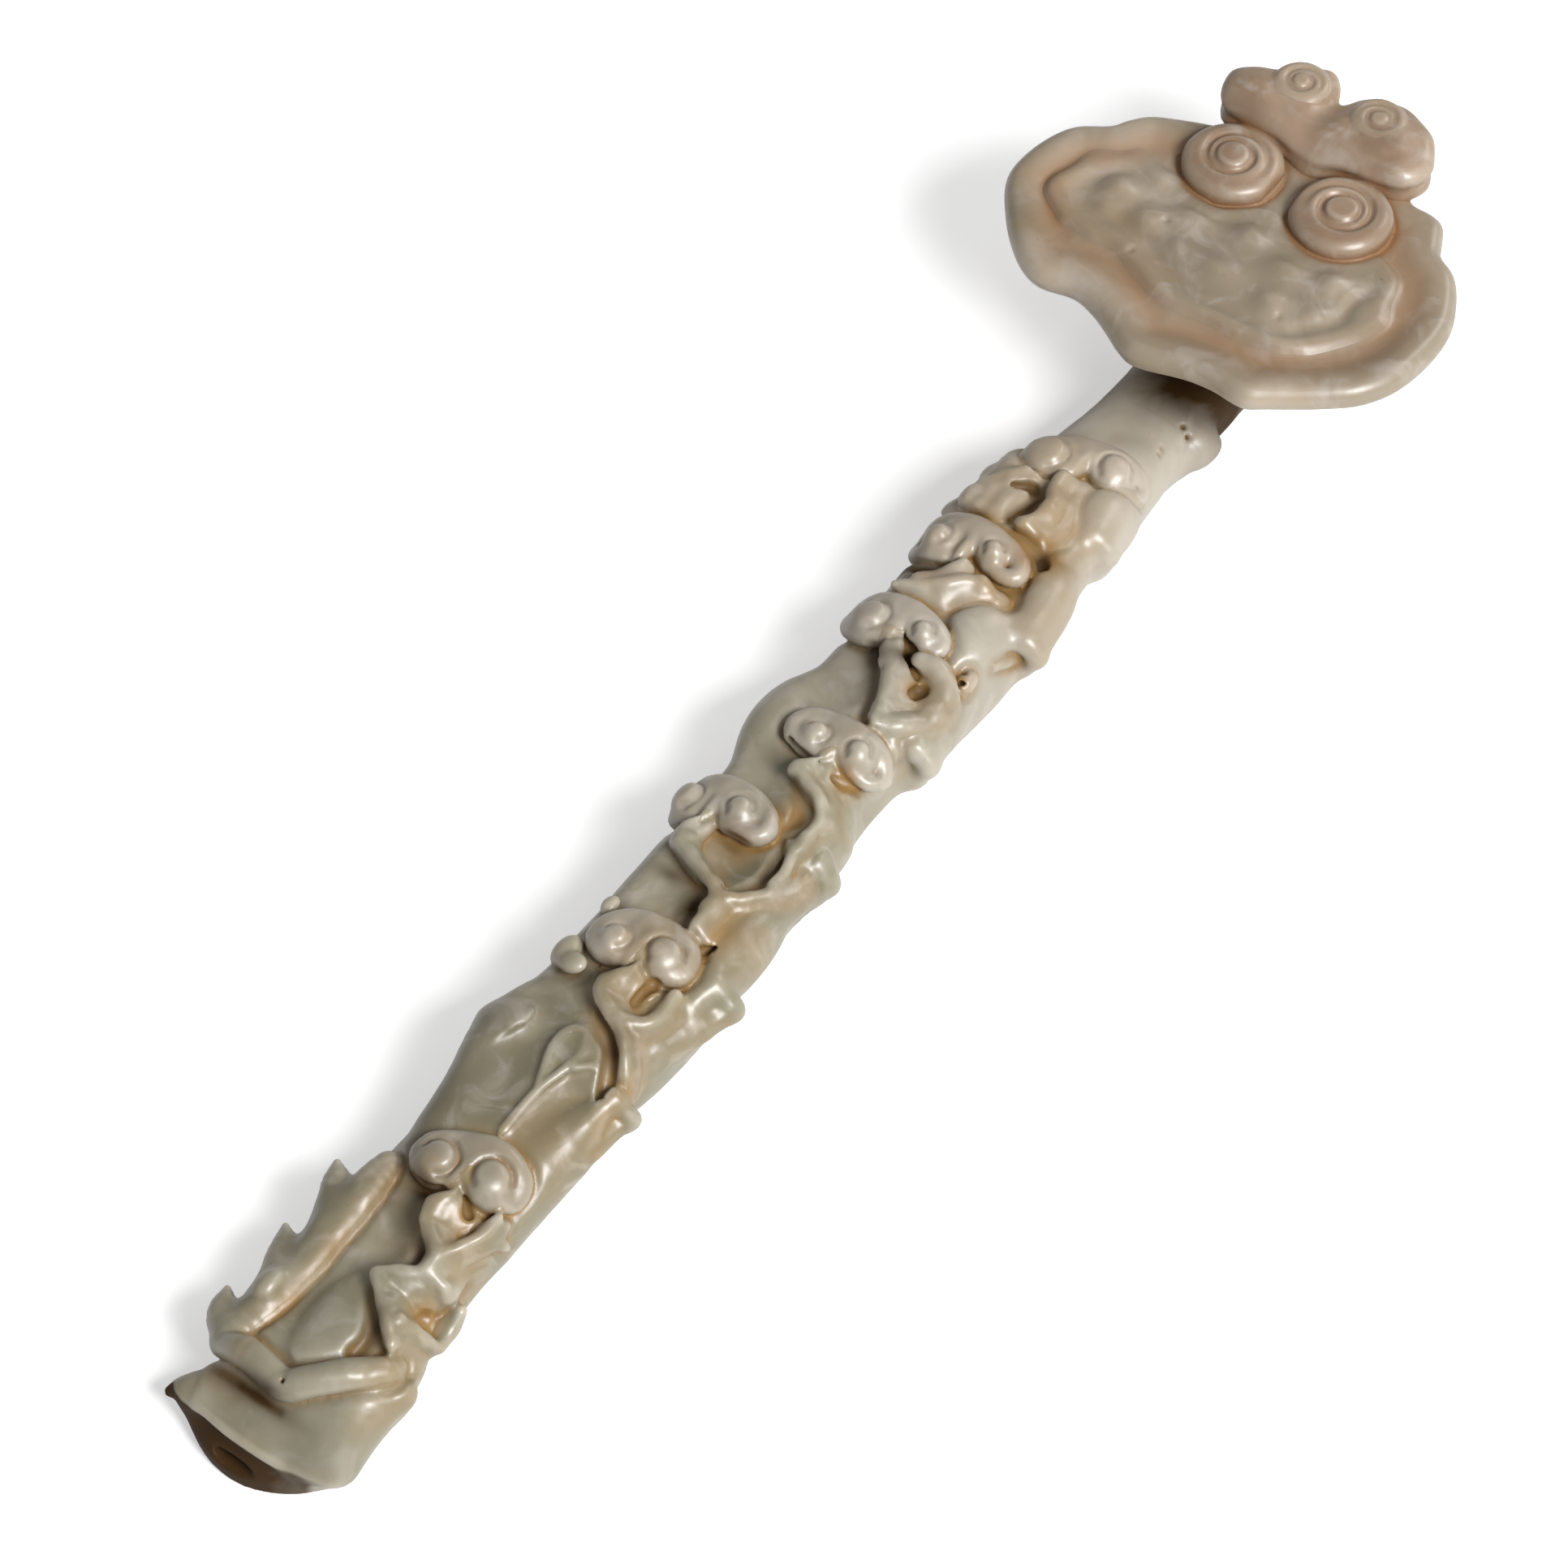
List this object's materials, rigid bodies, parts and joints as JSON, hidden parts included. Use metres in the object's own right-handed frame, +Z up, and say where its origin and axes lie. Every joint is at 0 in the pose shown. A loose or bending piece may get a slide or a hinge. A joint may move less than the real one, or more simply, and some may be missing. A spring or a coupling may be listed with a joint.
{
  "type": "ruyi sceptre",
  "caption": "Carved jade ruyi sceptre: an arched shaft with lingzhi sprigs in relief, a neck that turns up, and a cloud-shaped head with scrolls, standing on two ground flats.",
  "frame": {"origin": "on the ground plane, below the middle of the bounding box", "axes": "+Y from the tail to the crest of the head, +Z up, +X to the right seen from the tail"},
  "size_m": [0.103, 0.3892, 0.0552],
  "materials": {
    "stone": "polished greyish celadon nephrite",
    "pale_stone": "polished paler nephrite",
    "warm_stone": "polished nephrite with russet skin"
  },
  "bodies": {
    "root": {"shaft": "stone", "neck": "stone", "head_plate": "pale_stone", "head_cloud": "pale_stone", "volute_left": "warm_stone", "volute_right": "warm_stone", "crest": "warm_stone", "crest_curl_left": "pale_stone", "crest_curl_right": "pale_stone", "tail_bar": "stone", "tail_branch": "stone", "sprig_1": "stone", "sprig_2": "stone", "sprig_3": "stone", "sprig_4": "stone", "sprig_5": "stone", "sprig_6": "stone", "sprig_7": "stone", "cap_1": "pale_stone", "cap_2": "pale_stone", "cap_3": "pale_stone", "cap_4": "pale_stone", "cap_5": "pale_stone", "cap_6": "pale_stone", "cap_7": "pale_stone", "burl_rim": "warm_stone", "loop_twig": "stone", "side_knob": "stone", "side_bud": "stone", "edge_bead": "stone", "long_ridge": "stone"}
  },
  "joints": []
}
